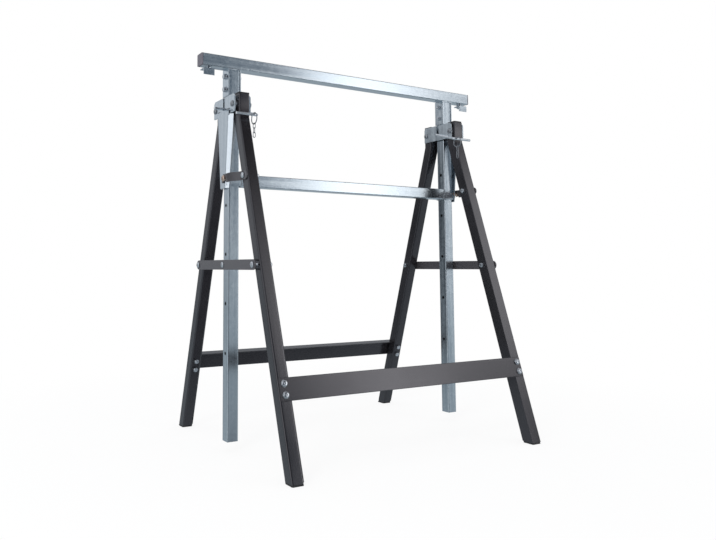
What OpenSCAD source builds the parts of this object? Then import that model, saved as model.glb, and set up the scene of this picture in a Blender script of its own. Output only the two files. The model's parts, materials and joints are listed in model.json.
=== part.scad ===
// Folding builders trestle with a beam that is raised on two drilled posts

/* [Beam] */
// Overall length of the beam with its end caps
beam_len = 730; // [500:5:1000]
// Side of the square beam tube
beam_w = 25; // [20:1:40]
// Height of the beam top above the head plates at the lowest setting
beam_rise = 86; // [70:1:120]
// Distance from a beam end to the bolt of its end hook
hook_end = 20; // [15:0.5:60]
// Length of an end hook along the beam
hook_len = 24; // [16:1:40]
// Drop of an end hook below the beam
hook_drop = 19; // [12:1:40]

/* [Posts] */
// Distance from a beam end to the middle of its post
beam_over = 73; // [50:1:150]
// Side of the square post tube
post_w = 24; // [20:1:30]
// Height of the post ends above the floor
post_foot = 20; // [10:1:60]
// Spacing of the height holes
hole_pitch = 100; // [60:5:110]
// Number of height holes in each post
hole_count = 6; // [3:1:7]

/* [Legs] */
// Distance that the middle of a leg stands inside the middle of its post
leg_set = 3; // [0:0.5:8]
// Width of a leg tube along the beam
leg_w = 24; // [18:1:30]
// Depth of a leg tube
leg_d = 25; // [20:1:30]
// Height of the leg tops above the head plates
leg_rise = 3; // [0:1:10]
// Depth of the bend in each leg below the head plate tops
bend_drop = 47; // [40:1:100]
// Distance from the middle to the outer face of a leg top
leg_top_out = 54; // [45:1:70]
// Distance from the middle to the outer edge of a foot
foot_out = 262; // [180:1:330]
// Wall of every tube
tube_wall = 1.5; // [1:0.1:3]

/* [Head] */
// Height of the head plate tops above the floor
plate_top = 717; // [600:1:900]
// Height of the head plates
plate_h = 37; // [30:1:60]
// Thickness of the head plates
plate_t = 3; // [2:0.5:5]
// Depth of the leg pivots below the head plate tops
pivot_drop = 20; // [14:0.5:26]
// Diameter of the leg pivots
pivot_d = 8; // [6:0.5:10]

/* [Guides] */
// Depth of the guide tops below the head plate tops
guide_drop = 28; // [20:0.5:34]
// Length of the tapered guides
guide_len = 161; // [120:1:220]
// Spread of a guide on each side from its bottom to its top
guide_flare = 17; // [0:0.5:30]
// Sheet thickness of the guides
guide_t = 2; // [1.5:0.1:3]
// Depth of the folded guide edges
guide_fold = 9; // [5:0.5:12]
// Height of the cross bar above the guide ends
bar_rise = 5; // [0:0.5:20]
// Side of the square cross bar
bar_w = 25; // [20:1:30]
// Height of the post collars
collar_h = 12; // [8:1:20]

/* [Rails and straps] */
// Bottom of the rails, measured up the leg
rail_foot = 140; // [100:1:200]
// Height of the rails
rail_h = 41; // [30:1:60]
// Sheet thickness of the rails
rail_t = 2; // [1.5:0.1:3]
// Depth of the folded top edge of the rails between the legs
rail_fold = 15; // [5:1:20]
// Distance from a rail end to the outer face of its leg
rail_set = 2; // [0:0.5:10]
// Height of the folding straps above the floor
strap_z = 372; // [300:1:440]
// Height of a strap
strap_h = 20; // [14:1:26]
// Thickness of the straps and latches
strap_t = 3; // [2:0.5:4]

/* [Latches] */
// Height of the latches above the guide ends
latch_rise = 19; // [14:1:40]
// Distance from the middle to the latch studs
stud_y = 15; // [12:0.5:18]
// Height of a latch
latch_h = 18; // [14:1:22]
// Tail of a latch in front of its bolt
latch_tail = 15; // [10:1:30]
// Flare of the latch mouth in degrees
latch_flare = 32; // [28:1:36]

/* [Lock pins] */
// Diameter of the pin rod
rod_d = 6; // [5:0.1:8]
// Depth of the lock pins below the head plate tops
pin_drop = 23.5; // [18:0.5:28]
// Distance from the leg tops to the middle of the pin handles
arm_gap = 12; // [8:0.5:20]
// Drop from a pin to its handle
arm_drop = 20.5; // [10:0.5:30]
// Distance that a pin tip stands out of the guide
tip_out = 20; // [8:1:30]
// Distance that a handle stands out past the leg
arm_out = 12; // [4:1:20]
// Diameter of the rings on the handles
ring_d = 25; // [20:0.5:30]

/* [Hidden] */
$fn = 32;
over = 1;
slide_gap = 1;
plate_gap = 3;
side_gap = 2;
side_clear = 0.3;
run_gap = 0.05;
bolt_gap = 0.1;
corner_r = 2;
beam_top = plate_top + beam_rise;
leg_top = plate_top + leg_rise;
leg_bend = plate_top - bend_drop;
plate_foot = plate_top - plate_h;
pivot_z = plate_top - pivot_drop;
guide_top = plate_top - guide_drop;
guide_foot = guide_top - guide_len;
bar_foot = guide_foot + bar_rise;
latch_z = guide_foot + latch_rise;
pin_z = plate_top - pin_drop;
arm_z = pin_z - arm_drop;
arm_y = leg_top_out + arm_gap;
pin_slack = 1;
hole_d = rod_d + pin_slack;
leg_lean = (foot_out - leg_top_out) / leg_bend;
leg_tilt = atan(leg_lean);
pivot_y = leg_top_out - leg_d / 2;
post_x = beam_len / 2 - beam_over;
post_in = post_x - post_w / 2;
post_out = post_x + post_w / 2;
leg_x = post_x - leg_set;
leg_in = leg_x - leg_w / 2;
leg_out = leg_x + leg_w / 2;
rail_len = 2 * (leg_out - rail_set);
outer_in = post_out + plate_gap;
outer_out = outer_in + plate_t;
inner_out = leg_in - side_gap;
inner_in = inner_out - plate_t;
guide_out = outer_out + guide_t;
latch_in = guide_out + slide_gap;
latch_out = latch_in + strap_t;
latch_leg = leg_out + side_clear;
step_from = 14;
step_to = 34;
strap_gap = 0.6;
lap_gap = 0.4;
strap_in = post_out + strap_gap;
lap_in = strap_in + strap_t + lap_gap;
beam_foot = beam_top - beam_w;
cap_t = 3;
plug_t = 3;
plug_len = 15;
top_plug_len = 12;
plug_gap = 0.1;
saddle_t = 2.5;
saddle_over = 2;
saddle_half = post_w / 2 + saddle_over;
saddle_lift = 3;
saddle_edge = 15.5;
saddle_foot = plate_top + saddle_lift;
saddle_top_bolt = beam_foot - saddle_edge;
saddle_low_bolt = saddle_foot + saddle_edge;
post_top = beam_foot - saddle_t;
bolt_d = 6;
head_d = 12;
head_h = 3.5;
head_edge = 1;
nut_d = 11.5;
nut_h = 5;
nut_gap = 1;
hook_x = beam_len / 2 - hook_end;
cap_plug = hook_end - cap_t - nut_d / 2 - nut_gap;
stub = 1.5;
washer_d = 13;
washer_t = 1;
rivet_d = 13;
rivet_h = 3;
sleeve_d = 14;
plate_edge = 7.5;
plate_in_edge = 6.5;
plate_half = pivot_y + plate_edge;
plate_in_half = pivot_y + plate_in_edge;
plate_cut = 5;
collar_t = 2.5;
guide_room = 0.5;
guide_foot_half = post_w / 2 + slide_gap + collar_t + guide_t + guide_room;
guide_top_half = guide_foot_half + guide_flare;
fold_gap = 1;
fold_top = plate_foot - fold_gap;
collar_in = post_in - slide_gap - collar_t;
rail_gap = 1;
rail_bolt_step = 20;
rail_bolt_gap = (rail_h - rail_bolt_step) / 2;
strap_d = 8;
latch_d = 8;
stud_d = 8;
stud_head_d = 13;
stud_head_h = 3.5;
stud_gap = 0.5;
nose = 6;
latch_cut = 6;
hook_t = 2.5;
hook_back = 8;
hook_front = 11;
hook_sleeve = 5;
hook_in = 9;
web_x = inner_in - rivet_h - slide_gap - rod_d / 2;
tip_x = guide_out + tip_out;
arm_x = leg_out + arm_out;
tip_cut = 1.2;
bend_r = 7;
ring_wire = 2;
ring_x = web_x + bend_r + ring_wire / 2 + bolt_gap;
ring_r = ring_d / 2 - ring_wire / 2;
ring_z = arm_z + rod_d / 2 - ring_r + ring_wire / 2;
link_wire = 1.4;
link_r = 2.4;
link_len = 6;
link_gap = 0.2;
link_pitch = link_len + 2 * link_r - link_wire - link_gap;
link_count = 3;
zinc = [0.66, 0.70, 0.74];
bright = [0.78, 0.79, 0.80];
black = [0.13, 0.13, 0.14];
grey = [0.36, 0.34, 0.37];

function leg_line(i, z) = -(foot_out - z * leg_lean) + i / cos(leg_tilt);
function leg_mid(z) = -leg_line(leg_d / 2, z);
function guide_half(z) =
  guide_foot_half + (z - guide_foot) * (guide_top_half - guide_foot_half) / (guide_top - guide_foot);

// Shared shapes

module to_left() {
  mirror([1, 0, 0]) children();
}

module to_rear() {
  mirror([0, 1, 0]) children();
}

module pair() {
  children();
  to_left() children();
}

module along_x(x0, x1) {
  translate([x0, 0, 0]) rotate([90, 0, 90]) linear_extrude(x1 - x0) children();
}

module rod_x(d, x0, x1, y, z) {
  translate([x0, y, z]) rotate([0, 90, 0]) cylinder(d = d, h = x1 - x0);
}

module rod_y(d, y0, y1, x, z) {
  translate([x, y0, z]) rotate([-90, 0, 0]) cylinder(d = d, h = y1 - y0);
}

module round_square(w, r) {
  offset(r = r) square(w - 2 * r, center = true);
}

module tube_shape(w) {
  difference() {
    round_square(w, corner_r);
    square(w - 2 * tube_wall, center = true);
  }
}

module button(d, h) {
  cylinder(d = d, h = h - head_edge);
  translate([0, 0, h - head_edge]) cylinder(d1 = d, d2 = d - 3 * head_edge, h = head_edge);
}

module bolt_x(d, x0, x1, y, z) {
  translate([x1, y, z]) rotate([0, 90, 0]) button(head_d, head_h);
  rod_x(d, x0 - nut_h - stub, x1, y, z);
  translate([x0 - nut_h, y, z]) rotate([0, 90, 0]) cylinder(d = nut_d, h = nut_h, $fn = 6);
}

module on_front_face(s) {
  translate([0, leg_line(0, 0), 0]) rotate([-leg_tilt, 0, 0]) translate([0, 0, s]) children();
}

// Guides, head and cross bar

module guide_shape(side, z0, z1) {
  polygon([[guide_half(z0) - side, z0], [guide_half(z1) - side, z1],
    [side - guide_half(z1), z1], [side - guide_half(z0), z0]]);
}

module guide() {
  x0 = guide_out - guide_fold - over;
  y0 = guide_top_half + over;
  color(zinc) difference() {
    along_x(guide_out - guide_fold, guide_out) guide_shape(0, guide_foot, guide_top);
    along_x(x0, outer_out) guide_shape(guide_t, guide_foot - over, guide_top + over);
    translate([x0, -y0, fold_top]) cube([outer_out - x0, 2 * y0, guide_top - fold_top + over]);
  }
}

module guide_right() {
  guide();
}

module guide_left() {
  to_left() guide();
}

module pin_notch() {
  translate([0, pin_z]) circle(d = hole_d);
  translate([-hole_d / 2, pin_z]) square([hole_d, plate_top - pin_z + over]);
}

module pivot_holes() {
  for (s = [-1, 1]) translate([s * pivot_y, pivot_z]) circle(d = pivot_d + 2 * run_gap);
}

module head_plate(x0, half) {
  color(zinc) along_x(x0, x0 + plate_t) difference() {
    polygon([[-half, plate_foot], [half, plate_foot], [half, plate_top - plate_cut],
      [half - plate_cut, plate_top], [plate_cut - half, plate_top], [-half, plate_top - plate_cut]]);
    pin_notch();
    pivot_holes();
  }
}

module head_plate_outer_right() {
  head_plate(outer_in, plate_half);
}

module head_plate_outer_left() {
  to_left() head_plate(outer_in, plate_half);
}

module head_plate_inner_right() {
  head_plate(inner_in, plate_in_half);
}

module head_plate_inner_left() {
  to_left() head_plate(inner_in, plate_in_half);
}

module pivot_set() {
  color(bright) for (s = [-1, 1]) {
    rod_x(pivot_d, inner_in - run_gap, outer_out + run_gap, s * pivot_y, pivot_z);
    rod_x(sleeve_d, leg_out + side_clear, outer_in, s * pivot_y, pivot_z);
    rod_x(sleeve_d, inner_out, leg_in - side_clear, s * pivot_y, pivot_z);
    translate([outer_out, s * pivot_y, pivot_z]) rotate([0, 90, 0]) button(rivet_d, rivet_h);
    translate([inner_in, s * pivot_y, pivot_z]) rotate([0, -90, 0]) button(rivet_d, rivet_h);
  }
}

module pivots_right() {
  pivot_set();
}

module pivots_left() {
  to_left() pivot_set();
}

module collar() {
  z0 = bar_foot;
  y0 = post_w / 2 + slide_gap;
  color(bright) difference() {
    translate([collar_in, -y0 - collar_t, z0]) cube([outer_out - collar_in, 2 * (y0 + collar_t), collar_h]);
    translate([collar_in + collar_t, -y0, z0 - over])
      cube([outer_out - collar_in - collar_t + over, 2 * y0, collar_h + 2 * over]);
  }
}

module collar_right() {
  collar();
}

module collar_left() {
  to_left() collar();
}

module cross_bar() {
  color(zinc) translate([0, 0, bar_foot + bar_w / 2]) rotate([90, 0, 90])
    linear_extrude(2 * collar_in, center = true) tube_shape(bar_w);
}

module latch_stud() {
  color(bright) {
    rod_x(stud_d, guide_out, latch_out + 2 * side_clear, -stud_y, latch_z);
    translate([latch_out + 2 * side_clear, -stud_y, latch_z]) rotate([0, 90, 0])
      button(stud_head_d, stud_head_h);
  }
}

module latch_stud_right() {
  latch_stud();
}

module latch_stud_left() {
  to_left() latch_stud();
}

// Legs, rails and their fasteners

module leg_shape(i0, i1, z0, z1) {
  bend = tan(leg_tilt / 2);
  polygon([[i0 - leg_top_out, z1], [i0 - leg_top_out, leg_bend - i0 * bend], [leg_line(i0, z0), z0],
    [leg_line(i1, z0), z0], [i1 - leg_top_out, leg_bend - i1 * bend], [i1 - leg_top_out, z1]]);
}

module leg() {
  difference() {
    along_x(leg_in, leg_out) leg_shape(0, leg_d, plug_t, leg_top - plug_t);
    along_x(leg_in + tube_wall, leg_out - tube_wall)
      leg_shape(tube_wall, leg_d - tube_wall, plug_t - over, leg_top - plug_t + over);
    rod_x(pivot_d + 2 * run_gap, leg_in - over, leg_out + over, -pivot_y, pivot_z);
    rod_x(strap_d + 2 * bolt_gap, leg_in - over, leg_out + over, -leg_mid(strap_z), strap_z);
    for (s = [0, 1]) on_front_face(rail_foot + rail_bolt_gap + s * rail_bolt_step)
      rod_y(bolt_d + 2 * bolt_gap, -over, leg_d + over, leg_x, 0);
  }
}

module front_leg() {
  color(black) difference() {
    leg();
    rod_x(latch_d + 2 * bolt_gap, leg_in - over, leg_out + over, -leg_mid(latch_z), latch_z);
  }
}

module front_leg_right() {
  front_leg();
}

module front_leg_left() {
  to_left() front_leg();
}

module rear_leg_right() {
  color(black) to_rear() leg();
}

module rear_leg_left() {
  color(black) to_left() to_rear() leg();
}

module rail() {
  x0 = leg_in - rail_gap;
  x1 = rail_len / 2 + over;
  depth = rail_fold + over;
  color(black) difference() {
    on_front_face(rail_foot) translate([-rail_len / 2, -rail_t, 0]) cube([rail_len, rail_t + rail_fold, rail_h]);
    on_front_face(rail_foot) translate([-x1, 0, -over]) cube([2 * x1, depth, rail_h - rail_t + over]);
    for (s = [0, 1]) mirror([s, 0, 0]) on_front_face(rail_foot)
      translate([x0, 0, -over]) cube([x1 - x0, depth, rail_h + 2 * over]);
    for (s = [0, 1], x = [-leg_x, leg_x]) on_front_face(rail_foot + rail_bolt_gap + s * rail_bolt_step)
      rod_y(bolt_d + 2 * bolt_gap, -rail_t - over, over, x, 0);
  }
}

module front_rail() {
  rail();
}

module rear_rail() {
  to_rear() rail();
}

module rail_bolt() {
  rod_y(washer_d, -rail_t - washer_t, -rail_t, 0, 0);
  translate([0, -rail_t - washer_t, 0]) rotate([90, 0, 0]) button(head_d, head_h);
  rod_y(bolt_d, -rail_t - washer_t, leg_d + nut_h + stub, 0, 0);
  translate([0, leg_d, 0]) rotate([-90, 0, 0]) cylinder(d = nut_d, h = nut_h, $fn = 6);
}

module rail_bolts() {
  color(bright) for (s = [0, 1], x = [-leg_x, leg_x])
    on_front_face(rail_foot + rail_bolt_gap + s * rail_bolt_step) translate([x, 0, 0]) rail_bolt();
}

module front_rail_bolts() {
  rail_bolts();
}

module rear_rail_bolts() {
  to_rear() rail_bolts();
}

module foot_plug() {
  i = tube_wall + plug_gap;
  along_x(leg_in, leg_out)
    polygon([[leg_line(0, plug_t), plug_t], [leg_line(0, 0), 0], [leg_line(leg_d, 0), 0],
      [leg_line(leg_d, plug_t), plug_t]]);
  along_x(leg_in + i, leg_out - i)
    polygon([[leg_line(i, plug_len), plug_len], [leg_line(i, plug_t), plug_t],
      [leg_line(leg_d - i, plug_t), plug_t], [leg_line(leg_d - i, plug_len), plug_len]]);
}

module front_foot_plugs() {
  color(black) pair() foot_plug();
}

module rear_foot_plugs() {
  color(black) pair() to_rear() foot_plug();
}

module top_plug() {
  i = tube_wall + plug_gap;
  translate([leg_in, -leg_top_out, leg_top - plug_t]) cube([leg_w, leg_d, plug_t]);
  translate([leg_in + i, i - leg_top_out, leg_top - top_plug_len])
    cube([leg_w - 2 * i, leg_d - 2 * i, top_plug_len - plug_t]);
}

module front_top_plugs() {
  color(black) pair() top_plug();
}

module rear_top_plugs() {
  color(black) pair() to_rear() top_plug();
}

module strap_bolt(x0, y) {
  x1 = x0 + strap_t + side_clear;
  rod_x(sleeve_d, leg_out, x0 - side_clear, y, strap_z);
  bolt_x(strap_d, leg_in, x1, y, strap_z);
}

module front_strap_bolts() {
  color(bright) pair() strap_bolt(lap_in, -leg_mid(strap_z));
}

module rear_strap_bolts() {
  color(bright) pair() strap_bolt(strap_in, leg_mid(strap_z));
}

module latch_bolts() {
  color(bright) pair() bolt_x(latch_d, leg_in, latch_leg + strap_t + side_clear, -leg_mid(latch_z), latch_z);
}

// Straps and latches

module strap(x0, y0, open_d) {
  color(black) along_x(x0, x0 + strap_t) difference() {
    hull() {
      translate([y0, strap_z]) circle(d = strap_h);
      translate([0, strap_z]) circle(d = strap_h);
    }
    translate([y0, strap_z]) circle(d = strap_d + 2 * run_gap);
    translate([0, strap_z]) circle(d = open_d);
  }
}

module front_strap_right() {
  strap(lap_in, -leg_mid(strap_z), strap_d);
}

module front_strap_left() {
  to_left() strap(lap_in, -leg_mid(strap_z), strap_d);
}

module rear_strap_right() {
  strap(strap_in, leg_mid(strap_z), strap_d);
}

module rear_strap_left() {
  to_left() strap(strap_in, leg_mid(strap_z), strap_d);
}

module strap_rivet() {
  color(bright) {
    rod_x(strap_d, lap_in, lap_in + strap_t, 0, strap_z);
    translate([lap_in + strap_t, 0, strap_z]) rotate([0, 90, 0]) button(head_d, rivet_h);
  }
}

module strap_rivet_right() {
  strap_rivet();
}

module strap_rivet_left() {
  to_left() strap_rivet();
}

module latch_side(y0, tail, tip) {
  r = stud_d / 2 + stud_gap;
  z0 = latch_z - latch_h / 2;
  z1 = latch_z + latch_h / 2;
  end = tail + latch_h / 2;
  difference() {
    union() {
      translate([end, latch_z]) circle(d = latch_h);
      polygon([[end, z0], [tip, z0], [tip, z1 - latch_cut], [tip - latch_cut, z1], [end, z1]]);
    }
    translate([y0, latch_z]) circle(d = latch_d + 2 * run_gap);
    translate([-stud_y, latch_z]) circle(r = r);
    polygon([[-stud_y - r, latch_z], [r - stud_y, latch_z], [r - stud_y, z0 - over],
      [-stud_y - r - (latch_h / 2 + over) * tan(latch_flare), z0 - over]]);
  }
}

module latch_plan(y0, tail, tip) {
  y1 = y0 + step_from;
  y2 = y0 + step_to;
  lap = strap_t * tan(atan((latch_in - latch_leg) / (y2 - y1)) / 2);
  polygon([[latch_leg, tail - over], [latch_leg, y1], [latch_in, y2], [latch_in, tip + over],
    [latch_out, tip + over], [latch_out, y2 - lap], [latch_leg + strap_t, y1 - lap],
    [latch_leg + strap_t, tail - over]]);
}

module latch() {
  y0 = -leg_mid(latch_z);
  tail = y0 - latch_tail;
  tip = stud_d / 2 + stud_gap + nose - stud_y;
  color(black) intersection() {
    along_x(latch_leg - over, latch_out + over) latch_side(y0, tail, tip);
    translate([0, 0, latch_z - latch_h]) linear_extrude(2 * latch_h) latch_plan(y0, tail, tip);
  }
}

module latch_right() {
  latch();
}

module latch_left() {
  to_left() latch();
}

// Posts and beam

module post() {
  color(zinc) difference() {
    translate([post_x, 0, post_foot]) linear_extrude(post_top - post_foot) tube_shape(post_w);
    for (i = [0 : hole_count - 1])
      rod_x(hole_d, post_in - over, post_out + over, 0, pin_z - i * hole_pitch);
    for (z = [saddle_low_bolt, saddle_top_bolt])
      rod_x(bolt_d + 2 * bolt_gap, post_in - over, post_out + over, 0, z);
  }
}

module post_right() {
  post();
}

module post_left() {
  to_left() post();
}

module saddle() {
  color(zinc) difference() {
    translate([post_in - saddle_t, -saddle_half, saddle_foot])
      cube([post_w + 2 * saddle_t, 2 * saddle_half, beam_foot - saddle_foot]);
    translate([post_in, -saddle_half - over, saddle_foot - over])
      cube([post_w, 2 * (saddle_half + over), post_top - saddle_foot + over]);
    for (z = [saddle_low_bolt, saddle_top_bolt])
      rod_x(bolt_d + 2 * bolt_gap, post_in - saddle_t - over, post_out + saddle_t + over, 0, z);
  }
}

module saddle_right() {
  saddle();
}

module saddle_left() {
  to_left() saddle();
}

module saddle_bolts() {
  color(bright) for (z = [saddle_low_bolt, saddle_top_bolt])
    bolt_x(bolt_d, post_in - saddle_t, post_out + saddle_t, 0, z);
}

module saddle_bolts_right() {
  saddle_bolts();
}

module saddle_bolts_left() {
  to_left() saddle_bolts();
}

module beam() {
  color(zinc) difference() {
    translate([0, 0, beam_foot + beam_w / 2]) rotate([90, 0, 90])
      linear_extrude(beam_len - 2 * cap_t, center = true) tube_shape(beam_w);
    for (x = [-hook_x, hook_x])
      translate([x, 0, beam_foot - over]) cylinder(d = bolt_d + 2 * bolt_gap, h = tube_wall + 2 * over);
  }
}

module beam_cap() {
  i = tube_wall + plug_gap;
  x0 = beam_len / 2 - cap_t;
  translate([0, 0, beam_foot + beam_w / 2]) {
    along_x(x0, x0 + cap_t) round_square(beam_w, corner_r);
    along_x(x0 - cap_plug, x0) square(beam_w - 2 * i, center = true);
  }
}

module beam_caps() {
  color(grey) pair() beam_cap();
}

module end_hook() {
  z0 = beam_foot - hook_sleeve - hook_t;
  color(zinc) {
    difference() {
      translate([hook_x - hook_in, -hook_front, z0]) cube([hook_len, hook_front + hook_back, hook_t]);
      translate([hook_x, 0, z0 - over]) cylinder(d = bolt_d + 2 * bolt_gap, h = hook_t + 2 * over);
    }
    translate([hook_x - hook_in, -hook_front, beam_foot - hook_drop])
      cube([hook_len, hook_t, hook_drop - hook_sleeve]);
  }
}

module end_hook_right() {
  end_hook();
}

module end_hook_left() {
  to_left() end_hook();
}

module hook_bolt() {
  z0 = beam_foot - hook_sleeve;
  translate([hook_x, 0, z0 - hook_t]) rotate([180, 0, 0]) button(head_d, head_h);
  translate([hook_x, 0, z0 - hook_t]) cylinder(d = bolt_d, h = hook_t + hook_sleeve + tube_wall + nut_h + stub);
  translate([hook_x, 0, z0]) cylinder(d = head_d, h = hook_sleeve);
  translate([hook_x, 0, beam_foot + tube_wall]) cylinder(d = nut_d, h = nut_h, $fn = 6);
}

module hook_bolts() {
  color(bright) pair() hook_bolt();
}

// Lock pins with their rings and chains

module pin_bend(v, turn) {
  translate([web_x + bend_r, v, 0]) rotate([0, 0, turn]) rotate_extrude(angle = 90)
    translate([bend_r, 0]) circle(d = rod_d);
}

module lock_pin() {
  dz = pin_z - arm_z;
  drop = sqrt(arm_y * arm_y + dz * dz);
  x0 = web_x + bend_r;
  color(bright) translate([0, 0, pin_z]) rotate([atan(dz / arm_y), 0, 0]) {
    rod_x(rod_d, x0, tip_x - tip_cut, 0, 0);
    translate([tip_x - tip_cut, 0, 0]) rotate([0, 90, 0])
      cylinder(d1 = rod_d, d2 = rod_d - 2 * tip_cut, h = tip_cut);
    pin_bend(-bend_r, 90);
    rod_y(rod_d, bend_r - drop, -bend_r, web_x, 0);
    pin_bend(bend_r - drop, 180);
    rod_x(rod_d, x0, arm_x, -drop, 0);
  }
}

module lock_pin_right() {
  lock_pin();
}

module lock_pin_left() {
  to_left() lock_pin();
}

module ring() {
  color(bright) translate([ring_x, -arm_y, ring_z]) rotate([0, 90, 0])
    rotate_extrude() translate([ring_r, 0]) circle(d = ring_wire, $fn = 14);
}

module ring_right() {
  ring();
}

module ring_left() {
  to_left() ring();
}

module link() {
  for (s = [0, 1]) mirror([s, 0, 0]) {
    translate([link_len / 2, 0, 0]) rotate([0, 0, -90]) rotate_extrude(angle = 180, $fn = 16)
      translate([link_r, 0]) circle(d = link_wire, $fn = 14);
  }
  for (s = [-1, 1]) translate([-link_len / 2, s * link_r, 0]) rotate([0, 90, 0])
    cylinder(d = link_wire, h = link_len, $fn = 14);
}

module chain() {
  top = ring_z - ring_r + (ring_wire + link_wire) / 2 + link_gap;
  color(bright) for (i = [0 : link_count - 1])
    translate([ring_x, -arm_y, top - link_len / 2 - link_r - i * link_pitch])
      rotate([0, 90, 0]) rotate([(i + 1) % 2 * 90, 0, 0]) link();
}

module chain_right() {
  chain();
}

module chain_left() {
  to_left() chain();
}

guide_left();
guide_right();
head_plate_outer_left();
head_plate_outer_right();
head_plate_inner_left();
head_plate_inner_right();
collar_left();
collar_right();
cross_bar();
pivots_left();
pivots_right();
latch_stud_left();
latch_stud_right();
front_leg_left();
front_leg_right();
front_rail();
front_rail_bolts();
front_foot_plugs();
front_top_plugs();
front_strap_bolts();
latch_bolts();
rear_leg_left();
rear_leg_right();
rear_rail();
rear_rail_bolts();
rear_foot_plugs();
rear_top_plugs();
rear_strap_bolts();
front_strap_left();
front_strap_right();
rear_strap_left();
rear_strap_right();
strap_rivet_left();
strap_rivet_right();
latch_left();
latch_right();
post_left();
post_right();
beam();
beam_caps();
saddle_left();
saddle_right();
saddle_bolts_left();
saddle_bolts_right();
end_hook_left();
end_hook_right();
hook_bolts();
chain_left();
chain_right();
lock_pin_left();
lock_pin_right();
ring_left();
ring_right();
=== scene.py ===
import json
import math
import bpy
import bmesh
from mathutils import Matrix, Vector

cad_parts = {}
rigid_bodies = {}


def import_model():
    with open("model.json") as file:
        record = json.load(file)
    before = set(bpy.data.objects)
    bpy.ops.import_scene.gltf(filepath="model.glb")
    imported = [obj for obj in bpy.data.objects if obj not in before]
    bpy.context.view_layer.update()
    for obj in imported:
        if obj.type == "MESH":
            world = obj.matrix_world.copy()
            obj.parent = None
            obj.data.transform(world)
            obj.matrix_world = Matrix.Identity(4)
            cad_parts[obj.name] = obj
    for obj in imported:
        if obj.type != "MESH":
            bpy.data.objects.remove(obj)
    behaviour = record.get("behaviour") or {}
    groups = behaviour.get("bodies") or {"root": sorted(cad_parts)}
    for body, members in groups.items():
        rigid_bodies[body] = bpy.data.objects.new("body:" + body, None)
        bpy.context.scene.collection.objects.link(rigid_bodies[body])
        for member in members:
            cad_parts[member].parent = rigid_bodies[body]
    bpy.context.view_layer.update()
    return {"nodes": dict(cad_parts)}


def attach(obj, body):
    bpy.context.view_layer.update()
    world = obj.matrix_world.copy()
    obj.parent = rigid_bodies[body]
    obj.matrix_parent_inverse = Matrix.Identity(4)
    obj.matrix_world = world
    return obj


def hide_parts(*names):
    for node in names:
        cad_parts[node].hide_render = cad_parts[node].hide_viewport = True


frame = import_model()
print("frame loaded with", len(frame["nodes"]), "nodes")

scene = bpy.context.scene
scene.view_settings.view_transform = "Standard"

# camera

photoCamera = {
    "place": (-0.8984, -1.2800, 0.3671),
    "turn": -28.782,          # degrees about Z, towards the right
    "tilt": 4.4725,           # degrees upwards
    "lens": 34.609,
    "sensor": 36.0,
    "shift": (0.1196, -0.0791),
}


def makeCamera(look):
    data = bpy.data.cameras.new("photoCamera")
    data.sensor_fit = "HORIZONTAL"
    data.sensor_width = look["sensor"]
    data.lens = look["lens"]
    data.shift_x, data.shift_y = look["shift"]
    camera = bpy.data.objects.new("photoCamera", data)
    camera.location = look["place"]
    camera.rotation_euler = (math.radians(90 + look["tilt"]), 0, math.radians(look["turn"]))
    scene.collection.objects.link(camera)
    scene.camera = camera


makeCamera(photoCamera)
print("camera placed")

# studio

studio = {
    "backdrop": (1.0, 1.0, 1.0, 1.0),
    "softLight": (0.92, 0.93, 0.95, 1.0),     # what lights matt surfaces, the same from all round
    "room": (0.60, 0.64, 0.68, 1.0),          # what metal and gloss paint reflect
    "ground": (0.39, 0.45, 0.49, 1.0),        # the same below the horizon
    "horizon": (-0.06, 0.06),
    "floorSize": 40.0,
    "floorDrop": 0.0004,                      # metres below the feet
    "floorColour": (0.90, 0.90, 0.90, 1.0),
    "floorOwnLight": 0.86,                    # share of the floor's white that a shadow can't take
    "floorFade": (0.55, 1.30),                # metres from the middle over which it turns plain white
}

# cards that metal and paint reflect, each over the ones before it
# rim and core are cosines of the angle from the card's middle

cards = {
    "frontDark": {"towards": (0.16, -0.92, 0.28), "rim": 0.89, "core": 0.966,
                  "colour": (0.09, 0.13, 0.17, 1.0)},
    "backLeftDark": {"towards": (-0.694, 0.719, 0.035), "rim": 0.973, "core": 0.992,
                     "colour": (0.06, 0.07, 0.08, 1.0)},
    "backDark": {"towards": (0.06, 0.99, 0.0), "rim": 0.89, "core": 0.935,
                 "colour": (0.17, 0.18, 0.20, 1.0)},
    "overheadDark": {"towards": (0.36, -0.53, 0.77), "rim": 0.845, "core": 0.91,
                     "colour": (0.02, 0.02, 0.03, 1.0)},
    "lowFrontDark": {"towards": (0.40, -0.79, -0.46), "rim": 0.955, "core": 0.985,
                     "colour": (0.10, 0.11, 0.13, 1.0)},
    "leftBright": {"towards": (-0.965, -0.25, 0.05), "rim": 0.925, "core": 0.968,
                   "colour": (1.20, 1.23, 1.27, 1.0)},
    "frontLeftDark": {"towards": (-0.39, -0.92, 0.0), "rim": 0.875, "core": 0.925,
                      "colour": (0.02, 0.02, 0.03, 1.0)},
    "highFrontPale": {"towards": (0.482, -0.751, 0.451), "rim": 0.986, "core": 0.9985,
                      "colour": (0.95, 0.97, 0.99, 1.0)},
    "rightDark": {"towards": (0.801, -0.582, 0.139), "rim": 0.982, "core": 0.9945,
                  "colour": (0.16, 0.17, 0.19, 1.0)},
    "highRightBright": {"towards": (0.727, -0.571, 0.38), "rim": 0.980, "core": 0.9980,
                        "colour": (1.55, 1.57, 1.59, 1.0)},
}

lamps = {
    "leftKey": {"place": (-2.4, -1.5, 1.9), "aim": (0, 0, 0.45), "size": (0.9, 0.9), "power": 24,
                "mirrored": False},           # metal and paint reflect the bright left card in its place
    "frontSoftBox": {"place": (1.76, -2.445, 0.95), "aim": (0, 0, 0.65), "size": (0.69, 1.7), "power": 6.3,
                     "mirrored": True},
}


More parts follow.
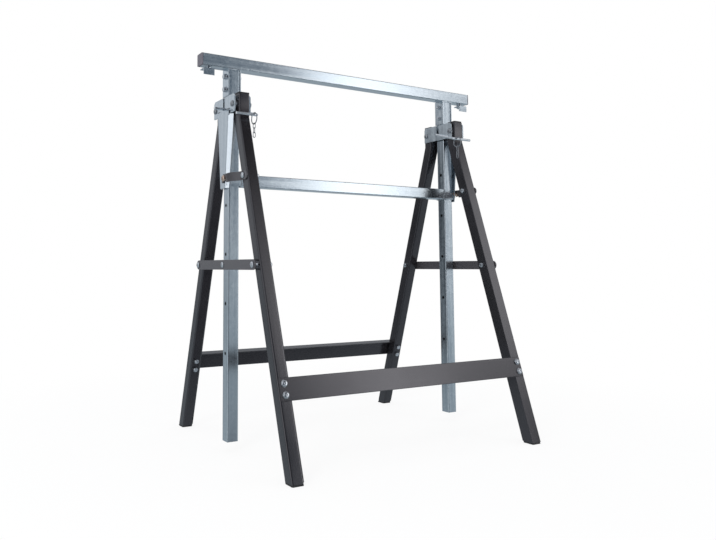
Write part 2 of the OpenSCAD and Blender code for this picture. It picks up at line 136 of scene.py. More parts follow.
def node(tree, kind, place, **values):
    made = tree.nodes.new(kind)
    made.location = place
    for key, value in values.items():
        setattr(made, key, value)
    return made


def groundAndRoom(tree, around, look):
    split = node(tree, "ShaderNodeSeparateXYZ", (-1300, 300))
    edge = node(tree, "ShaderNodeMapRange", (-1100, 300), interpolation_type="SMOOTHSTEP")
    edge.inputs["From Min"].default_value, edge.inputs["From Max"].default_value = look["horizon"]
    mix = node(tree, "ShaderNodeMix", (-900, 300), data_type="RGBA")
    mix.inputs["A"].default_value = look["ground"]
    mix.inputs["B"].default_value = look["room"]
    tree.links.new(around, split.inputs[0])
    tree.links.new(split.outputs["Z"], edge.inputs["Value"])
    tree.links.new(edge.outputs["Result"], mix.inputs["Factor"])
    return mix.outputs["Result"]


def addCard(tree, around, colour, card, place):
    facing = node(tree, "ShaderNodeVectorMath", place, operation="DOT_PRODUCT")
    facing.inputs[1].default_value = Vector(card["towards"]).normalized()
    edge = node(tree, "ShaderNodeMapRange", (place[0] + 200, place[1]), interpolation_type="SMOOTHSTEP")
    edge.inputs["From Min"].default_value = card["rim"]
    edge.inputs["From Max"].default_value = card["core"]
    mix = node(tree, "ShaderNodeMix", (place[0] + 400, place[1]), data_type="RGBA")
    mix.inputs["B"].default_value = card["colour"]
    tree.links.new(around, facing.inputs[0])
    tree.links.new(facing.outputs["Value"], edge.inputs["Value"])
    tree.links.new(edge.outputs["Result"], mix.inputs["Factor"])
    tree.links.new(colour, mix.inputs["A"])
    return mix.outputs["Result"]


def makeWorld(look, table):
    world = bpy.data.worlds.new("studioWorld")
    scene.world = world
    world.use_nodes = True
    tree = world.node_tree
    tree.nodes.clear()
    around = node(tree, "ShaderNodeTexCoord", (-1500, 0)).outputs["Generated"]
    colour = groundAndRoom(tree, around, look)
    for i, card in enumerate(table.values()):
        colour = addCard(tree, around, colour, card, (-700, -250 * i))
    path = node(tree, "ShaderNodeLightPath", (0, 400))
    soft = node(tree, "ShaderNodeBackground", (200, 100))
    soft.inputs["Color"].default_value = look["softLight"]
    room = node(tree, "ShaderNodeBackground", (200, -100))
    tree.links.new(colour, room.inputs["Color"])
    seen = node(tree, "ShaderNodeBackground", (200, -300))
    seen.inputs["Color"].default_value = look["backdrop"]
    gloss = node(tree, "ShaderNodeMixShader", (500, 0))
    tree.links.new(path.outputs["Is Glossy Ray"], gloss.inputs["Fac"])
    tree.links.new(soft.outputs[0], gloss.inputs[1])
    tree.links.new(room.outputs[0], gloss.inputs[2])
    eye = node(tree, "ShaderNodeMixShader", (700, 0))
    tree.links.new(path.outputs["Is Camera Ray"], eye.inputs["Fac"])
    tree.links.new(gloss.outputs[0], eye.inputs[1])
    tree.links.new(seen.outputs[0], eye.inputs[2])
    out = node(tree, "ShaderNodeOutputWorld", (900, 0))
    tree.links.new(eye.outputs[0], out.inputs[0])


def makeFloor(look):
    mesh = bpy.data.meshes.new("studioFloor")
    half = look["floorSize"] / 2
    corners = [(-half, -half, 0), (half, -half, 0), (half, half, 0), (-half, half, 0)]
    mesh.from_pydata(corners, [], [(0, 1, 2, 3)])
    floor = bpy.data.objects.new("studioFloor", mesh)
    floor.location.z = -look["floorDrop"]
    scene.collection.objects.link(floor)
    material = bpy.data.materials.new("floorWhite")
    material.use_nodes = True
    tree = material.node_tree
    tree.nodes.clear()
    out = node(tree, "ShaderNodeOutputMaterial", (800, 0))
    matt = node(tree, "ShaderNodeBsdfDiffuse", (200, 100))
    matt.inputs["Color"].default_value = look["floorColour"]
    glow = node(tree, "ShaderNodeEmission", (200, -100))
    glow.inputs["Color"].default_value = look["backdrop"]
    coords = node(tree, "ShaderNodeTexCoord", (-800, 200))
    reach = node(tree, "ShaderNodeVectorMath", (-600, 200), operation="LENGTH")
    fade = node(tree, "ShaderNodeMapRange", (-400, 200), interpolation_type="SMOOTHSTEP")
    fade.inputs["From Min"].default_value, fade.inputs["From Max"].default_value = look["floorFade"]
    fade.inputs["To Min"].default_value = look["floorOwnLight"]
    path = node(tree, "ShaderNodeLightPath", (-600, 600))
    share = node(tree, "ShaderNodeMath", (-100, 400), operation="MULTIPLY")
    mix = node(tree, "ShaderNodeMixShader", (400, 0))
    through = node(tree, "ShaderNodeBsdfTransparent", (200, -300))
    gloss = node(tree, "ShaderNodeMixShader", (600, 0))
    tree.links.new(coords.outputs["Object"], reach.inputs[0])
    tree.links.new(reach.outputs["Value"], fade.inputs["Value"])
    tree.links.new(path.outputs["Is Camera Ray"], share.inputs[0])
    tree.links.new(fade.outputs["Result"], share.inputs[1])
    tree.links.new(share.outputs[0], mix.inputs["Fac"])
    tree.links.new(matt.outputs[0], mix.inputs[1])
    tree.links.new(glow.outputs[0], mix.inputs[2])
    tree.links.new(path.outputs["Is Glossy Ray"], gloss.inputs["Fac"])
    tree.links.new(mix.outputs[0], gloss.inputs[1])
    tree.links.new(through.outputs[0], gloss.inputs[2])
    tree.links.new(gloss.outputs[0], out.inputs[0])
    mesh.materials.append(material)


def makeLamps(table):
    for name, look in table.items():
        data = bpy.data.lights.new(name, "AREA")
        data.shape = "RECTANGLE"
        data.size, data.size_y = look["size"]
        data.energy = look["power"]
        lamp = bpy.data.objects.new(name, data)
        lamp.location = look["place"]
        lamp.visible_glossy = look["mirrored"]
        aim = Vector(look["aim"]) - Vector(look["place"])
        lamp.rotation_euler = aim.to_track_quat("-Z", "Y").to_euler()
        scene.collection.objects.link(lamp)


makeWorld(studio, cards)
makeFloor(studio)
makeLamps(lamps)
print("studio lit with", len(lamps), "lamps and", len(cards), "cards")

# finishes

galvanised = {
    "pale": (0.66, 0.71, 0.75, 1.0),
    "dull": (0.48, 0.53, 0.58, 1.0),
    "roughness": (0.16, 0.28),
    "streak": 90.0,            # bands to the metre across the grain
    "stretch": 0.035,          # share of that along the grain
    "spangle": 160.0,
    "spangleShare": 0.16,
    "scratch": 0.06,
}

sheetSteel = dict(
    galvanised,
    pale=(0.77, 0.82, 0.86, 1.0),         # sheet has a brighter coat than tube
    dull=(0.58, 0.63, 0.68, 1.0),
)

brightZinc = {
    "pale": (0.80, 0.81, 0.83, 1.0),
    "dull": (0.56, 0.58, 0.62, 1.0),
    "roughness": (0.14, 0.30),
    "mottle": 420.0,
    "pitting": 0.05,
}

brightPin = {
    "pale": (0.88, 0.89, 0.91, 1.0),
    "dull": (0.66, 0.68, 0.72, 1.0),
    "roughness": (0.07, 0.16),
    "mottle": 420.0,
    "pitting": 0.05,
}

steelWire = {
    "pale": (0.44, 0.45, 0.47, 1.0),
    "dull": (0.28, 0.29, 0.31, 1.0),
    "roughness": (0.16, 0.30),
    "mottle": 600.0,
    "pitting": 0.05,
}

copperPlate = {
    "pale": (0.82, 0.62, 0.50, 1.0),
    "dull": (0.55, 0.40, 0.32, 1.0),
    "roughness": (0.20, 0.38),
    "mottle": 420.0,
    "pitting": 0.05,
}

weldSteel = {
    "pale": (0.52, 0.53, 0.55, 1.0),
    "dull": (0.22, 0.22, 0.23, 1.0),
    "roughness": (0.22, 0.48),
    "mottle": 350.0,
    "pitting": 0.05,
}

blackCoat = {
    "pale": (0.0130, 0.0118, 0.0136, 1.0),
    "dull": (0.0086, 0.0080, 0.0090, 1.0),
    "roughness": (0.17, 0.25),
    "gloss": 1.0,
    "glossTint": (0.97, 0.94, 1.0, 1.0),
    "cloud": 9.0,
    "peel": 1100.0,            # orange peel of the powder coat
    "peelDepth": 0.05,
}

coatWithPaintedSheen = dict(
    blackCoat,
    pale=(0.062, 0.060, 0.064, 1.0),      # painted sheen: straps and latches are a little paler than the legs, to stand in for the reflection their steps hide
    dull=(0.046, 0.044, 0.048, 1.0),
)

railCoat = dict(blackCoat, gloss=0.86)    # the front rail shines a little less than the legs

blackPlastic = {
    "pale": (0.018, 0.0175, 0.019, 1.0),
    "dull": (0.011, 0.011, 0.012, 1.0),
    "roughness": (0.50, 0.66),
    "gloss": 0.5,
    "glossTint": (1.0, 1.0, 1.0, 1.0),
    "cloud": 60.0,
    "peel": 2200.0,
    "peelDepth": 0.10,
}

greyPlastic = {
    "pale": (0.150, 0.142, 0.170, 1.0),
    "dull": (0.110, 0.104, 0.124, 1.0),
    "roughness": (0.42, 0.56),
    "gloss": 0.5,
    "glossTint": (1.0, 1.0, 1.0, 1.0),
    "cloud": 60.0,
    "peel": 2000.0,
    "peelDepth": 0.08,
}

tubeShadePaint = {"colour": (0.030, 0.031, 0.034, 1.0), "skin": 0.0006}     # painted shade: the post tube's inside, deeper than the skin and seen through its holes, is coloured dark
noiseRange = {"colour": (0.30, 0.70), "roughness": (0.25, 0.75)}        # noise from one end to the other
bumpHeight = {"scratch": 0.0004, "pitting": 0.0003, "peel": 0.0003}     # metres


def startFinish(name):
    material = bpy.data.materials.new(name)
    material.use_nodes = True
    tree = material.node_tree
    shader = tree.nodes["Principled BSDF"]
    coords = node(tree, "ShaderNodeTexCoord", (-1400, 0))
    return material, tree, shader, coords.outputs["Object"]


def between(tree, fac, look):
    ramp = node(tree, "ShaderNodeValToRGB", (-400, 200))
    low, high = ramp.color_ramp.elements
    low.position, high.position = noiseRange["colour"]
    low.color, high.color = look["dull"], look["pale"]
    tree.links.new(fac, ramp.inputs["Fac"])
    return ramp.outputs["Color"]


def spread(tree, fac, look):
    span = node(tree, "ShaderNodeMapRange", (-400, -100))
    span.inputs["From Min"].default_value, span.inputs["From Max"].default_value = noiseRange["roughness"]
    span.inputs["To Min"].default_value, span.inputs["To Max"].default_value = look["roughness"]
    tree.links.new(fac, span.inputs["Value"])
    return span.outputs["Result"]


def grain(tree, coords, scale, place, detail=3.0):
    stretch = node(tree, "ShaderNodeMapping", (place[0] - 200, place[1]))
    stretch.inputs["Scale"].default_value = scale
    noise = node(tree, "ShaderNodeTexNoise", place)
    noise.inputs["Scale"].default_value = 1.0
    noise.inputs["Detail"].default_value = detail
    tree.links.new(coords, stretch.inputs["Vector"])
    tree.links.new(stretch.outputs["Vector"], noise.inputs["Vector"])
    return noise.outputs["Fac"]


def addBump(tree, shader, height, depth, distance):
    bump = node(tree, "ShaderNodeBump", (-400, -400))
    bump.inputs["Strength"].default_value = depth
    bump.inputs["Distance"].default_value = distance
    tree.links.new(height, bump.inputs["Height"])
    tree.links.new(bump.outputs["Normal"], shader.inputs["Normal"])


# mask for the painted shade: points inside the tube's walls, deeper than the skin
def paintedShadeInTube(tree, coords, box):
    split = node(tree, "ShaderNodeSeparateXYZ", (-1200, 700))
    tree.links.new(coords, split.inputs[0])
    masks = []
    for row, axis in enumerate("XY"):
        low, high = min(corner[row] for corner in box), max(corner[row] for corner in box)
        away = node(tree, "ShaderNodeMath", (-1000, 800 - 200 * row), operation="SUBTRACT")
        away.inputs[1].default_value = (low + high) / 2
        size = node(tree, "ShaderNodeMath", (-800, 800 - 200 * row), operation="ABSOLUTE")
        within = node(tree, "ShaderNodeMath", (-600, 800 - 200 * row), operation="LESS_THAN")
        within.inputs[1].default_value = (high - low) / 2 - tubeShadePaint["skin"]
        tree.links.new(split.outputs[axis], away.inputs[0])
        tree.links.new(away.outputs[0], size.inputs[0])
        tree.links.new(size.outputs[0], within.inputs[0])
        masks.append(within.outputs[0])
    both = node(tree, "ShaderNodeMath", (-400, 700), operation="MULTIPLY")
    tree.links.new(masks[0], both.inputs[0])
    tree.links.new(masks[1], both.inputs[1])
    return both.outputs[0]


def galvanisedSteel(name, look, along, shadedTubeNode=None):
    material, tree, shader, coords = startFinish(name)
    wide, fine = look["streak"], look["streak"] * look["stretch"]
    bands = grain(tree, coords, [fine if axis == along else wide for axis in "xyz"], (-900, 300))
    cells = node(tree, "ShaderNodeTexVoronoi", (-900, 0))
    cells.inputs["Scale"].default_value = look["spangle"]
    tree.links.new(coords, cells.inputs["Vector"])
    grey = node(tree, "ShaderNodeRGBToBW", (-750, 0))
    tree.links.new(cells.outputs["Color"], grey.inputs[0])
    both = node(tree, "ShaderNodeMix", (-600, 200), data_type="FLOAT")
    both.inputs["Factor"].default_value = look["spangleShare"]
    tree.links.new(bands, both.inputs["A"])
    tree.links.new(grey.outputs[0], both.inputs["B"])
    colour = between(tree, both.outputs[0], look)
    # painted shade: the inside of the post tube is coloured dark
    if shadedTubeNode:
        mix = node(tree, "ShaderNodeMix", (-150, 300), data_type="RGBA")
        mix.inputs["B"].default_value = tubeShadePaint["colour"]
        inside = paintedShadeInTube(tree, coords, frame["nodes"][shadedTubeNode].bound_box)
        tree.links.new(inside, mix.inputs["Factor"])
        tree.links.new(colour, mix.inputs["A"])
        colour = mix.outputs["Result"]
    tree.links.new(colour, shader.inputs["Base Color"])
    tree.links.new(spread(tree, both.outputs[0], look), shader.inputs["Roughness"])
    shader.inputs["Metallic"].default_value = 1.0
    addBump(tree, shader, bands, look["scratch"], bumpHeight["scratch"])
    return material


def zincPlate(name, look):
    material, tree, shader, coords = startFinish(name)
    mottle = grain(tree, coords, [look["mottle"]] * 3, (-900, 200))
    tree.links.new(between(tree, mottle, look), shader.inputs["Base Color"])
    tree.links.new(spread(tree, mottle, look), shader.inputs["Roughness"])
    shader.inputs["Metallic"].default_value = 1.0
    addBump(tree, shader, mottle, look["pitting"], bumpHeight["pitting"])
    return material


def paintOrPlastic(name, look):
    material, tree, shader, coords = startFinish(name)
    cloud = grain(tree, coords, [look["cloud"]] * 3, (-900, 300))
    peel = grain(tree, coords, [look["peel"]] * 3, (-900, -200), detail=1.0)
    tree.links.new(between(tree, cloud, look), shader.inputs["Base Color"])
    tree.links.new(spread(tree, cloud, look), shader.inputs["Roughness"])
    shader.inputs["Specular IOR Level"].default_value = look["gloss"]
    shader.inputs["Specular Tint"].default_value = look["glossTint"]
    addBump(tree, shader, peel, look["peelDepth"], bumpHeight["peel"])
    return material


finishes = {
    "steelAcross": galvanisedSteel("galvanisedAcross", galvanised, "x"),
    "sheetUpright": galvanisedSteel("galvanisedSheet", sheetSteel, "z"),
    "postLeft": galvanisedSteel("galvanisedPostLeft", galvanised, "z", "post_left"),
    "postRight": galvanisedSteel("galvanisedPostRight", galvanised, "z", "post_right"),
    "zinc": zincPlate("brightZinc", brightZinc),
    "pin": zincPlate("brightPin", brightPin),
    "wire": zincPlate("steelWire", steelWire),
    "copper": zincPlate("copperPlate", copperPlate),
    "weld": zincPlate("weldSteel", weldSteel),
    "coat": paintOrPlastic("blackPowderCoat", blackCoat),
    "railCoat": paintOrPlastic("railPowderCoat", railCoat),
    # painted sheen: a paler copy of the black coat, for straps and latches
    "coatWithPaintedSheen": paintOrPlastic("greyPowderCoat", coatWithPaintedSheen),
    "plug": paintOrPlastic("blackPlug", blackPlastic),
    "cap": paintOrPlastic("greyCap", greyPlastic),
}

sides = {"left": -1, "right": 1}


def bothSides(*names):
    return [name + side for name in names for side in sides]


# CAD nodes that keep their shape

kept = {
    "steelAcross": ["beam", "cross_bar"],
    "postLeft": ["post_left"],
    "postRight": ["post_right"],
    "pin": bothSides("lock_pin_"),
    "wire": bothSides("ring_", "chain_"),
}

for finish, names in kept.items():
    for name in names:
        surface = frame["nodes"][name].data.materials
        surface.clear()
        surface.append(finishes[finish])
print("finishes on", sum(len(names) for names in kept.values()), "nodes as they are")

# folded sheet and tube with rounded edges
# rounds, in metres: the radius, then the shortest and longest edge that takes it

shells = [
    {"nodes": bothSides("front_leg_", "rear_leg_"), "finish": "coat", "rounds": [(0.0034, 0.030, 1)]},
    {"nodes": ["front_rail"], "finish": "railCoat", "rounds": [(0.0016, 0.100, 1)]},
    {"nodes": ["rear_rail"], "finish": "coat", "rounds": [(0.0016, 0.100, 1)]},
    {"nodes": bothSides("front_strap_", "rear_strap_", "latch_"), "finish": "coatWithPaintedSheen",
     "rounds": [(0.0005, 0, 1)]},
    {"nodes": bothSides("head_plate_outer_", "head_plate_inner_", "saddle_"), "finish": "sheetUpright",
     "rounds": [(0.0006, 0.004, 1)]},
    {"nodes": bothSides("collar_", "end_hook_"), "finish": "steelAcross", "rounds": [(0.0006, 0.004, 1)]},
    {"nodes": ["front_foot_plugs", "rear_foot_plugs", "front_top_plugs", "rear_top_plugs"], "finish": "plug",
     "rounds": [(0.0034, 0.002, 0.004), (0.0008, 0.010, 1)]},
    {"nodes": ["beam_caps"], "finish": "cap", "rounds": [(0.0010, 0, 1)]},
]

shading = {
    "weld": 1e-6,                   # metres between points that become one
    "flat": math.radians(1),        # faces flatter to each other than this become one
    "corner": math.radians(40),     # edges sharper than this are rounded
    "steps": 4,
    "profile": 0.5,                 # a true round
    "smooth": math.radians(32),
}


def bodyOf(nodeName):
    return frame["nodes"][nodeName].parent.name.split(":")[1]


def newPiece(name, bm, finish, body, nodes):
    bmesh.ops.recalc_face_normals(bm, faces=bm.faces)
    mesh = bpy.data.meshes.new(name)
    bm.to_mesh(mesh)
    bm.free()
    mesh.shade_smooth()
    mesh.set_sharp_from_angle(angle=shading["smooth"])
    mesh.materials.append(finishes[finish])
    piece = bpy.data.objects.new(name, mesh)
    scene.collection.objects.link(piece)
    even = piece.modifiers.new("evenShading", "WEIGHTED_NORMAL")
    even.keep_sharp = True
    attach(piece, body)
    if nodes:
        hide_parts(*nodes)


def standIn(nodeName, ending, bm, finish):
    newPiece(nodeName + ending, bm, finish, bodyOf(nodeName), [nodeName])


def wantsRounding(edge, shortest, longest):
    if not edge.is_manifold or not edge.is_convex:
        return False
    return shortest < edge.calc_length() < longest and edge.calc_face_angle() > shading["corner"]


def soften(nodeName, look):
    solid = frame["nodes"][nodeName].data
    plain = bpy.data.meshes.new("plain")
    plain.from_pydata([v.co for v in solid.vertices], [], [p.vertices[:] for p in solid.polygons])
    bm = bmesh.new()
    bm.from_mesh(plain)
    bpy.data.meshes.remove(plain)
    bmesh.ops.remove_doubles(bm, verts=bm.verts, dist=shading["weld"])
    bmesh.ops.dissolve_limit(bm, angle_limit=shading["flat"], verts=bm.verts, edges=bm.edges)
    for radius, shortest, longest in look["rounds"]:
        sharp = [edge for edge in bm.edges if wantsRounding(edge, shortest, longest)]
        bmesh.ops.bevel(bm, geom=sharp, offset=radius, offset_type="OFFSET", segments=shading["steps"],
                        profile=shading["profile"], affect="EDGES", clamp_overlap=True)
    standIn(nodeName, "_rounded", bm, look["finish"])


for look in shells:
    for nodeName in look["nodes"]:
        soften(nodeName, look)
print("edges rounded on", sum(len(look["nodes"]) for look in shells), "pieces")

# bolts, rivets and studs, in millimetres along their own axis, with the head at the top

mm = 0.001

turning = {
    "count": 24,
    "discEdge": 0.25,
    "hexRound": 0.48,          # radius of the chamfer's round, as a share of the flats
    "hexChamfer": 0.7,
    "threadPitch": 1.0,
    "threadDepth": 0.35,
    "threadStart": 0.6,        # where the first ridge stands, as a share of half a pitch
}

# outline and plainTop: shares of the half width and of the height, from the rim up

dome = {
    "outline": [(0.95, 0.0), (1.0, 0.10), (1.0, 0.34), (0.95, 0.58), (0.84, 0.78), (0.70, 0.90),
                (0.56, 0.965)],
    "plainTop": [(0.34, 0.99), (0.12, 1.0)],
    "socketLip": 0.5,
    "lipDrop": 0.3,
}


def roundRing(radius, height):
    turns = [2 * math.pi * i / turning["count"] for i in range(turning["count"])]
    return [Vector((radius * math.cos(turn), radius * math.sin(turn), height)) for turn in turns]


def hexRing(flats, height):
    ring = []
    for point in roundRing(flats / 2, height):
        turn = math.atan2(point.y, point.x)
        lean = (turn + math.pi / 6) % (math.pi / 3) - math.pi / 6
        ring.append(Vector((point.x / math.cos(lean), point.y / math.cos(lean), height)))
    return ring


def skin(bm, rings, place):
    rows = [[bm.verts.new(place @ point) for point in ring] for ring in rings]
    for low, high in zip(rows, rows[1:]):
        for i in range(len(low)):
            j = (i + 1) % len(low)
            bm.faces.new((low[i], low[j], high[j], high[i]))
    bm.faces.new(rows[0][::-1])
    bm.faces.new(rows[-1])


def domeHead(bm, look, base, place):
    wide, tall = look["head"] / 2, look["rise"]
    outline = dome["outline"] if look["socket"] else dome["outline"] + dome["plainTop"]
    rings = [roundRing(wide * r, base + tall * h) for r, h in outline]
    if look["socket"]:
        rings.append(hexRing(look["socket"] + dome["socketLip"], base + tall))
        rings.append(hexRing(look["socket"], base + tall - dome["lipDrop"]))
        rings.append(hexRing(look["socket"], base + tall - look["sink"]))
    skin(bm, rings, place)


def disc(bm, wide, low, high, place):
    edge, radius = min(turning["discEdge"], (high - low) / 4), wide / 2
    skin(bm, [roundRing(radius - edge, low), roundRing(radius, low + edge), roundRing(radius, high - edge),
              roundRing(radius - edge, high)], place)


def hexBlock(bm, flats, low, high, place):
    inner, chamfer = flats * turning["hexRound"], turning["hexChamfer"]
    skin(bm, [roundRing(inner, low), hexRing(flats, low + chamfer), hexRing(flats, high - chamfer),
              roundRing(inner, high)], place)


def threadEnd(bm, look, top, place):
    wide, step = look["shank"] / 2, turning["threadPitch"] / 2
    low = top - look["stub"]
    rings = [roundRing(wide - 2 * turning["threadDepth"], low)]
    for i in range(int(look["stub"] / step)):
        ridge = wide - (i % 2) * turning["threadDepth"]
        rings.append(roundRing(ridge, low + step * (i + turning["threadStart"])))
    rings.append(roundRing(wide, top))
    skin(bm, rings, place)


def makeBolt(bm, look, place):
    base = 0
    if "washer" in look:
        base = look["washerThick"]
        disc(bm, look["washer"], 0, base, place)
    if "hex" in look:
        hexBlock(bm, look["hex"], base, base + look["rise"], place)
    else:
        domeHead(bm, look, base, place)
    disc(bm, look["shank"], -look["grip"], 0, place)
    if "nut" in look:
        hexBlock(bm, look["nut"], -look["grip"] - look["nutTall"], -look["grip"], place)
        threadEnd(bm, look, -look["grip"] - look["nutTall"], place)


def standing(point, towards):
    turn = Vector(towards).to_track_quat("Z", "Y").to_matrix().to_4x4()
    return Matrix.Translation(Vector(point) * mm) @ turn @ Matrix.Scale(mm, 4)


railBolt = {"head": 12, "rise": 3.5, "socket": 4, "sink": 2.2, "washer": 13, "washerThick": 1, "shank": 6,
            "grip": 27, "nut": 10, "nutTall": 5, "stub": 1.5}
railPlace = {"x": 289, "footY": 262, "lean": math.radians(17.2454), "up": (150.5, 170.5), "railThick": 2}


def railBolts(nodeName, front):
    bm = bmesh.new()
    lean = railPlace["lean"]
    out = Vector((0, -math.cos(lean), math.sin(lean)))
    for x in (-railPlace["x"], railPlace["x"]):
        for up in railPlace["up"]:
            point = Vector((x, -railPlace["footY"] + up * math.sin(lean), up * math.cos(lean)))
            point += out * railPlace["railThick"]
            makeBolt(bm, railBolt, standing((point.x, front * point.y, point.z), (0, front * out.y, out.z)))
    standIn(nodeName, "_turned", bm, "zinc")


strapBolt = {"head": 12, "rise": 3.5, "socket": 0, "shank": 8, "nut": 10, "nutTall": 5, "stub": 1.5}
legSides = {"inner": 277, "outer": 301}
legBoltPlaces = {
    "front_strap_bolts": {"x": 311.3, "y": -133.42, "z": 372, "sleeve": 14, "sleeveEnd": 307.7},
    "rear_strap_bolts": {"x": 307.9, "y": 133.42, "z": 372, "sleeve": 14, "sleeveEnd": 304.3},
    "latch_bolts": {"x": 304.6, "y": -79.09, "z": 547},
}


def legBolts(nodeName, spot):
    bm = bmesh.new()
    look = dict(strapBolt, grip=spot["x"] - legSides["inner"])
    for side in sides.values():
        place = standing((side * spot["x"], spot["y"], spot["z"]), (side, 0, 0))
        makeBolt(bm, look, place)
        if "sleeve" in spot:
            disc(bm, spot["sleeve"], legSides["outer"] - spot["x"], spot["sleeveEnd"] - spot["x"], place)
    standIn(nodeName, "_turned", bm, "zinc")


hookBolt = {"head": 12, "rise": 3.5, "socket": 4, "sink": 2.2, "shank": 6, "grip": 9, "nut": 10, "nutTall": 5,
            "stub": 1.5}
hookPlace = {"x": 345, "z": 770.5, "spacer": 12, "spacerEnds": (-7.5, -2.5)}


def hookBolts(nodeName):
    bm = bmesh.new()
    for side in sides.values():
        place = standing((side * hookPlace["x"], 0, hookPlace["z"]), (0, 0, -1))
        makeBolt(bm, hookBolt, place)
        disc(bm, hookPlace["spacer"], *hookPlace["spacerEnds"], place)
    standIn(nodeName, "_turned", bm, "zinc")


saddleBolt = {"hex": 10, "rise": 4.2, "washer": 13, "washerThick": 1.2, "shank": 6, "grip": 29, "nut": 10,
              "nutTall": 5, "stub": 1.5}
saddlePlace = {"x": 306.5, "z": (735.5, 762.5)}


def saddleBolts(nodeName, side):
    bm = bmesh.new()
    for z in saddlePlace["z"]:
        makeBolt(bm, saddleBolt, standing((side * saddlePlace["x"], 0, z), (side, 0, 0)))
    standIn(nodeName, "_turned", bm, "zinc")


legRivet = {"head": 13, "rise": 3, "socket": 0, "shank": 8, "grip": 19}
rivetPlace = {"outerX": 310, "innerX": 272, "y": 41.5, "z": 697, "spacer": 14,
              "outerSpacer": (-8.7, -3), "innerSpacer": (-4.7, -3)}


def legRivets(nodeName, side):
    bm = bmesh.new()
    for y in (-rivetPlace["y"], rivetPlace["y"]):
        outer = standing((side * rivetPlace["outerX"], y, rivetPlace["z"]), (side, 0, 0))
        inner = standing((side * rivetPlace["innerX"], y, rivetPlace["z"]), (-side, 0, 0))
        makeBolt(bm, legRivet, outer)
        makeBolt(bm, legRivet, inner)
        disc(bm, rivetPlace["spacer"], *rivetPlace["outerSpacer"], outer)
        disc(bm, rivetPlace["spacer"], *rivetPlace["innerSpacer"], inner)
    standIn(nodeName, "_turned", bm, "wire")


latchStud = {"head": 13, "rise": 3.5, "socket": 0, "shank": 8, "grip": 10, "spot": (316.6, -15, 547)}
strapRivet = {"head": 12, "rise": 3, "socket": 0, "shank": 8, "grip": 3, "spot": (311, 0, 372)}


def plainStud(nodeName, look, finish, side):
    bm = bmesh.new()
    x, y, z = look["spot"]
    makeBolt(bm, look, standing((side * x, y, z), (side, 0, 0)))
    standIn(nodeName, "_turned", bm, finish)


railBolts("front_rail_bolts", 1)
railBolts("rear_rail_bolts", -1)
for nodeName, spot in legBoltPlaces.items():
    legBolts(nodeName, spot)
hookBolts("hook_bolts")
for sideName, side in sides.items():
    saddleBolts("saddle_bolts_" + sideName, side)
    legRivets("pivots_" + sideName, side)
    plainStud("latch_stud_" + sideName, latchStud, "copper", side)
    plainStud("strap_rivet_" + sideName, strapRivet, "zinc", side)
print("bolts, rivets and studs turned")

# guides, in millimetres: sheet with both edges folded half over, and a flat tab that lies on the head plate

guide = {
    "foot": 528,
    "bendTop": 679,
    "top": 689,
    "footHalf": 18,
    "topHalf": 35,
    "out": 312,                # from the middle of the trestle to the outer face
    "thick": 2,
    "fold": (6.0, 8.5),        # how far the edges reach back, at the foot and at the top
    "turn": math.radians(45),
    "bend": 5,
    "bendSteps": 6,
    "rows": 12,
    "tabInset": 6.5,
    "tabLap": 3,               # runs down inside the folded sheet
    "tabShy": 0.05,            # keeps the tab's faces off those of the sheet
    "tabCorner": 3,
    "tabCornerSteps": 6,
}


def guideAt(z):
    part = (z - guide["foot"]) / (guide["top"] - guide["foot"])
    half = guide["footHalf"] + part * (guide["topHalf"] - guide["footHalf"])
    return half, guide["fold"][0] + part * (guide["fold"][1] - guide["fold"][0])


def guideRing(z):
    half, fold = guideAt(z)
    turn = guide["turn"]
    reach = guide["bend"] * math.tan(turn / 2)
    centre = (guide["out"] - guide["bend"], half - fold / math.tan(turn) - reach)
    lines = []
    for wide in (guide["bend"], guide["bend"] - guide["thick"]):
        inset = guide["bend"] - wide
        line = [(guide["out"] - fold - inset * math.cos(turn), half - inset * math.sin(turn))]
        for i in range(guide["bendSteps"] + 1):
            angle = turn * (1 - i / guide["bendSteps"])
            line.append((centre[0] + wide * math.cos(angle), centre[1] + wide * math.sin(angle)))
        lines.append(line + [(x, -y) for x, y in reversed(line)])
    return [Vector((x, y, z)) for x, y in lines[0] + lines[1][::-1]]


def guideTab(bm, place):
    low, corner = guide["bendTop"] - guide["tabLap"], guide["tabCorner"]
    lowHalf, topHalf = guideAt(low)[0] - guide["tabInset"], guideAt(guide["top"])[0] - guide["tabInset"]
    outline = [(-lowHalf, low), (lowHalf, low), (topHalf, guide["top"] - corner)]
    for i in range(guide["tabCornerSteps"]):
        bend = math.radians(90 * (i + 1) / guide["tabCornerSteps"])
        across, up = corner * math.cos(bend), corner * math.sin(bend)
        outline.append((topHalf - corner + across, guide["top"] - corner + up))
    outline += [(-y, z) for y, z in reversed(outline[2:])]
    faces = (guide["out"] - guide["thick"] + guide["tabShy"], guide["out"] - guide["tabShy"])
    skin(bm, [[Vector((x, y, z)) for y, z in outline] for x in faces], place)


def makeGuide(nodeName, side):
    bm = bmesh.new()
    place = Matrix.Diagonal((side * mm, mm, mm, 1))
    step = (guide["bendTop"] - guide["foot"]) / guide["rows"]
    skin(bm, [guideRing(guide["foot"] + step * i) for i in range(guide["rows"] + 1)], place)
    guideTab(bm, place)
    standIn(nodeName, "_folded", bm, "sheetUpright")


for sideName, side in sides.items():
    makeGuide("guide_" + sideName, side)
print("guides folded")

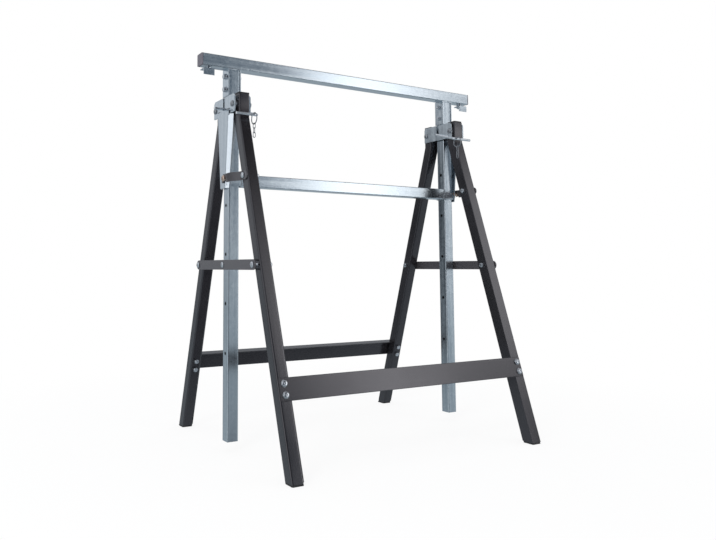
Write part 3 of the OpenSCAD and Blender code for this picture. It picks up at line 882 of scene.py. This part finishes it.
# weld beads, in millimetres, where the cross bar meets its collars and the guides meet the head plates

bead = {
    "wide": 2.2,
    "endShare": 0.35,          # width left at the very ends
    "bluntness": 8,            # higher keeps the full width nearer to the ends
    "ripple": 0.35,
    "step": 1.1,
    "fewestSteps": 4,
    "count": 8,
    "drift": 0.15,
    "driftPace": (2.3, 1.7),
}
collarWeld = {"x": 276.2, "sideY": 13.2, "sideZ": (533.5, 545), "underHalf": 11, "underZ": 533.2}
headWeld = {"x": 310.4, "y": 21, "half": 6, "z": 689.3}


def weldBead(bm, start, end):
    start, end = Vector(start), Vector(end)
    along = end - start
    turn = along.to_track_quat("Z", "Y")
    steps = max(bead["fewestSteps"], round(along.length / bead["step"]))
    paceX, paceY = bead["driftPace"]
    rings = []
    for i in range(steps + 1):
        part = i / steps
        swell = math.sqrt(max(0.0, 1 - (2 * part - 1) ** bead["bluntness"]))
        wide = bead["wide"] * (bead["endShare"] + (1 - bead["endShare"]) * swell) - bead["ripple"] * (i % 2)
        drift = Vector((math.sin(paceX * i), math.cos(paceY * i), 0)) * bead["drift"]
        ring = []
        for k in range(bead["count"]):
            angle = 2 * math.pi * k / bead["count"]
            rim = Vector((math.cos(angle), math.sin(angle), 0)) * wide
            ring.append(start + along * part + turn @ (rim + drift))
        rings.append(ring)
    skin(bm, rings, Matrix.Scale(mm, 4))


def weldBeads(sideName, side):
    bm = bmesh.new()
    x = side * collarWeld["x"]
    low, high = collarWeld["sideZ"]
    for y in (-collarWeld["sideY"], collarWeld["sideY"]):
        weldBead(bm, (x, y, low), (x, y, high))
    half, z = collarWeld["underHalf"], collarWeld["underZ"]
    weldBead(bm, (x, -half, z), (x, half, z))
    x, half, z = side * headWeld["x"], headWeld["half"], headWeld["z"]
    for y in (-headWeld["y"], headWeld["y"]):
        weldBead(bm, (x, y - half, z), (x, y + half, z))
    newPiece("weld_beads_" + sideName, bm, "weld", "frame", [])


for sideName, side in sides.items():
    weldBeads(sideName, side)
print("welds laid")
